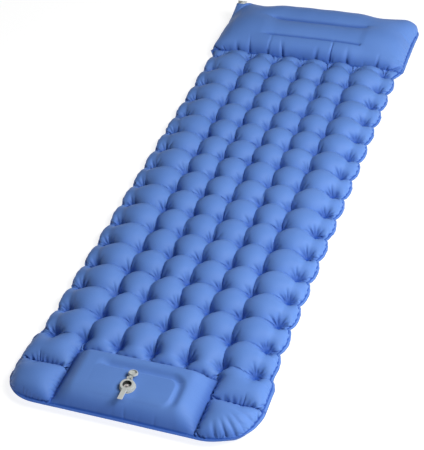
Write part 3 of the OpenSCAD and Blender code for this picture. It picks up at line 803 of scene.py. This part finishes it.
# ---------------------------------------------------------------- sheets to meshes
pool = ThreadPoolExecutor(2)
state = inflate(.5, 300, pool)
state = inflate(1.0, 260, pool, state, kc=.15, kb=.05, inner=2)
state = inflate(1.4, 110, pool, state, kc=.3, kb=.04, inner=2)
grid, TOP, LOW = state
ry, (l2, r2) = grid.ry, grid.cx["c2"]
PLAN_X, PLAN_Y = plan(grid)
DEPTH = dot_folds(grid, PLAN_X, PLAN_Y) + seam_folds(grid, PLAN_X, PLAN_Y)
PUMP = np.zeros(PLAN_X.shape, bool)
PUMP[:ry["prear"] + 1, l2:r2 + 1] = True
# nothing is folded under the two valves' flanges
CLEAR = smooth((from_inlet(PLAN_X, PLAN_Y) - 27) / 8)
CLEAR *= smooth((from_deflate(PLAN_X, PLAN_Y) - 21) / 6)
TOP, LOW = calm(grid, TOP, PLAN_X, PLAN_Y), calm(grid, LOW, PLAN_X, PLAN_Y)
stretch_cover(grid, TOP, PLAN_X, PLAN_Y)
# the lower sheet passes under the transfer valve, which stands in the seam behind the pump
TUCK = smooth((28 - np.abs(LOW[0])) / 14) * smooth((26 - np.abs(LOW[1] - PUMP_REAR)) / 14)
LOW[2] += TUCK * (np.minimum(LOW[2], 1.2) - LOW[2])
TOP = TOP - unit_normals(TOP) * DEPTH * CLEAR
TOP[2] -= head_recess(PLAN_X, PLAN_Y) * CLEAR
TOP[2] -= foam_print(PLAN_X, PLAN_Y) * PUMP * CLEAR
TOP[2] = np.maximum(TOP[2], LOW[2])
# a hair apart, so that the welded sheets don't share a surface
TOP[2, 1:-1, 1:-1] += .5
# position in the cloth itself, which the weave follows; it is longer than the plan by the usual cut
CLOTH_U, CLOTH_V = grid.x * 1.19, grid.y * 1.19
# darkening of the welds, together with painted shade round the dots, in the valleys, along the front
# slopes and at the pleat bases
WELD_DARK_AND_PAINTED_SHADE = welds_and_painted_shade(grid, PLAN_X, PLAN_Y)


def piece(name, X, faces, body_name, nodes, flip=False, every=1, normals=None):
    """A mesh from the grid's cells that faces marks, on every line of the grid or every other."""
    X, faces = X[:, ::every, ::every], faces[::every, ::every]
    ny, nx = X.shape[1:]
    idx = np.arange(ny * nx).reshape(ny, nx)
    quads = np.stack([idx[:-1, :-1], idx[:-1, 1:], idx[1:, 1:], idx[1:, :-1]], -1)[faces]
    if flip:
        quads = quads[:, ::-1]
    used = np.unique(quads)
    back = np.full(ny * nx, -1)
    back[used] = np.arange(len(used))
    me = bpy.data.meshes.new(name)
    co = (X.reshape(3, -1).T * MM)[used]
    me.vertices.add(len(used))
    me.vertices.foreach_set("co", co.astype(F).ravel())
    q = back[quads]
    me.loops.add(q.size)
    me.loops.foreach_set("vertex_index", q.ravel().astype(np.int32))
    me.polygons.add(len(q))
    me.polygons.foreach_set("loop_start", (np.arange(len(q)) * 4).astype(np.int32))
    me.update()
    me.validate()
    me.polygons.foreach_set("use_smooth", np.ones(len(me.polygons), bool))
    if normals is not None:
        me.normals_split_custom_set_from_vertices(normals.reshape(3, -1).T[used])
    u, v = np.meshgrid(CLOTH_U[::every], CLOTH_V[::every])
    uv = np.stack([u.ravel()[used], v.ravel()[used], np.zeros(len(used))], -1) * MM
    att = me.attributes.new("cloth", "FLOAT_VECTOR", "POINT")
    att.data.foreach_set("vector", uv.astype(F).ravel())
    # the weld attribute carries the weld darkening and the painted shade
    att = me.attributes.new("weld", "FLOAT", "POINT")
    att.data.foreach_set("value", WELD_DARK_AND_PAINTED_SHADE[::every, ::every].ravel()[used].astype(F))
    ob = bpy.data.objects.new(name, me)
    bpy.context.scene.collection.objects.link(ob)
    me.materials.append(BLUE)
    if body_name:
        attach(ob, body_name)
    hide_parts(*nodes)
    return ob


def block(rows, cols=(0, grid.nx - 1)):
    """Marks the cells between two rows and two columns."""
    m = np.zeros((grid.ny - 1, grid.nx - 1), bool)
    m[rows[0]:rows[1], cols[0]:cols[1]] = True
    return m


def cut(faces, round_hole):
    """Leaves out the cells that lie wholly inside the marked points."""
    h = round_hole
    return faces & ~(h[:-1, :-1] & h[:-1, 1:] & h[1:, 1:] & h[1:, :-1])


end_c, end_r = grid.nx - 1, grid.ny - 1
split = (ry["r7"] + ry["r8"]) // 2
inlet_hole = from_inlet(TOP[0], TOP[1]) < 20.5
deflate_hole = np.sqrt((TOP[0] - DEFLATE_X) ** 2 + (TOP[1] - DEFLATE_Y) ** 2 + (TOP[2] - 78) ** 2) < 16.5

quilt = block((ry["prear"], ry["pseam"]))
quilt |= block((ry["crease"], ry["prear"]), (0, l2)) | block((ry["crease"], ry["prear"]), (r2, end_c))
BENT = unit_normals(TOP)
for name, rows in (("mattress_quilt_foot", (0, split)), ("mattress_quilt_head", (split, end_r))):
    piece(name, TOP, quilt & block(rows), "pad", ["mattress_top"], normals=BENT)
piece("pillow_cover", TOP, cut(block((ry["pseam"], end_r)), deflate_hole), "pad",
      ["pillow_top", "pillow_baffle_front", "pillow_baffle_rear"])
piece("foot_cell_left", TOP, block((0, ry["crease"]), (0, l2)), "pad", ["foot_panel_left"])
piece("foot_cell_right", TOP, block((0, ry["crease"]), (r2, end_c)), "pad", ["foot_panel_right"])
piece("underside", LOW, block((0, end_r)), "pad", ["bottom_sheet"], flip=True,
      every=2)
cover = piece("pump_cover", TOP, cut(block((0, ry["prear"]), (l2, r2)), inlet_hole), None,
              ["pump_panel", "pump_skirt", "pump_foam", "pump_chamber_wall"])
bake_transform(cover)

# ---------------------------------------------------------------- floor, light, camera
def floor():
    """A white floor that stays pale away from the key light."""
    me = bpy.data.meshes.new("floor")
    bm = bmesh.new()
    bmesh.ops.create_grid(bm, x_segments=1, y_segments=1, size=30)
    bm.to_mesh(me)
    bm.free()
    ob = bpy.data.objects.new("floor", me)
    bpy.context.scene.collection.objects.link(ob)
    ob.location = (0, 0, -.0005)
    m, t, b = shader("floor_white", Roughness=.9, Specular_IOR_Level=.1)
    b.inputs["Base Color"].default_value = (.3, .3, .3, 1)
    b.inputs["Emission Color"].default_value = (1, 1, 1, 1)
    b.inputs["Emission Strength"].default_value = .86
    me.materials.append(m)


def area(name, loc, target, size, power):
    """A soft light of the given size, aimed at target."""
    d = bpy.data.lights.new(name, "AREA")
    d.shape, d.size, d.size_y, d.energy = "RECTANGLE", size[0], size[1], power
    ob = bpy.data.objects.new(name, d)
    bpy.context.scene.collection.objects.link(ob)
    ob.location = loc
    ob.rotation_mode = "QUATERNION"
    ob.rotation_quaternion = (Vector(target) - Vector(loc)).to_track_quat("-Z", "Y")


floor()
world = bpy.data.worlds.new("studio")
bpy.context.scene.world = world
world.use_nodes = True
sky = world.node_tree.nodes["Background"]
sky.inputs["Color"].default_value = (.97, .985, 1, 1)
# pale at the horizon, dim overhead so that the hollows of the quilting stay deep
way = node(world.node_tree, "ShaderNodeTexCoord")
rise = node(world.node_tree, "ShaderNodeSeparateXYZ")
dim = node(world.node_tree, "ShaderNodeMapRange")
for socket, value in zip(("From Min", "From Max", "To Min", "To Max"), (.15, .27, .95, .05)):
    dim.inputs[socket].default_value = value
world.node_tree.links.new(way.outputs["Generated"], rise.inputs[0])
world.node_tree.links.new(rise.outputs["Z"], dim.inputs["Value"])
world.node_tree.links.new(dim.outputs["Result"], sky.inputs["Strength"])
area("key", (2.2, -.5, 2.5), (0, -.15, 0), (1.5, 1.5), 128)
area("fill", (-1.2, -3.4, 2.4), (0, -.2, 0), (2.5, 1.5), 3)

cam_data = bpy.data.cameras.new("camera")
cam = bpy.data.objects.new("camera", cam_data)
bpy.context.scene.collection.objects.link(cam)
bpy.context.scene.camera = cam
back = Vector((.30767, -.68893, .65629)).normalized()
right = Vector((math.cos(math.atan2(back.x, -back.y)), math.sin(math.atan2(back.x, -back.y)), 0))
up = back.cross(right)
roll = math.radians(-6.7)
cam_x = right * math.cos(roll) + up * math.sin(roll)
cam_y = up * math.cos(roll) - right * math.sin(roll)
rot = Matrix((cam_x, cam_y, back)).transposed()
cam.matrix_world = Matrix.Translation((1.0863, -2.7003, 2.3924)) @ rot.to_4x4()
cam_data.sensor_fit, cam_data.sensor_width, cam_data.lens = "HORIZONTAL", 36, 36 * 1184 / 424
cam_data.clip_end = 100
bpy.context.scene.view_settings.view_transform = "Standard"
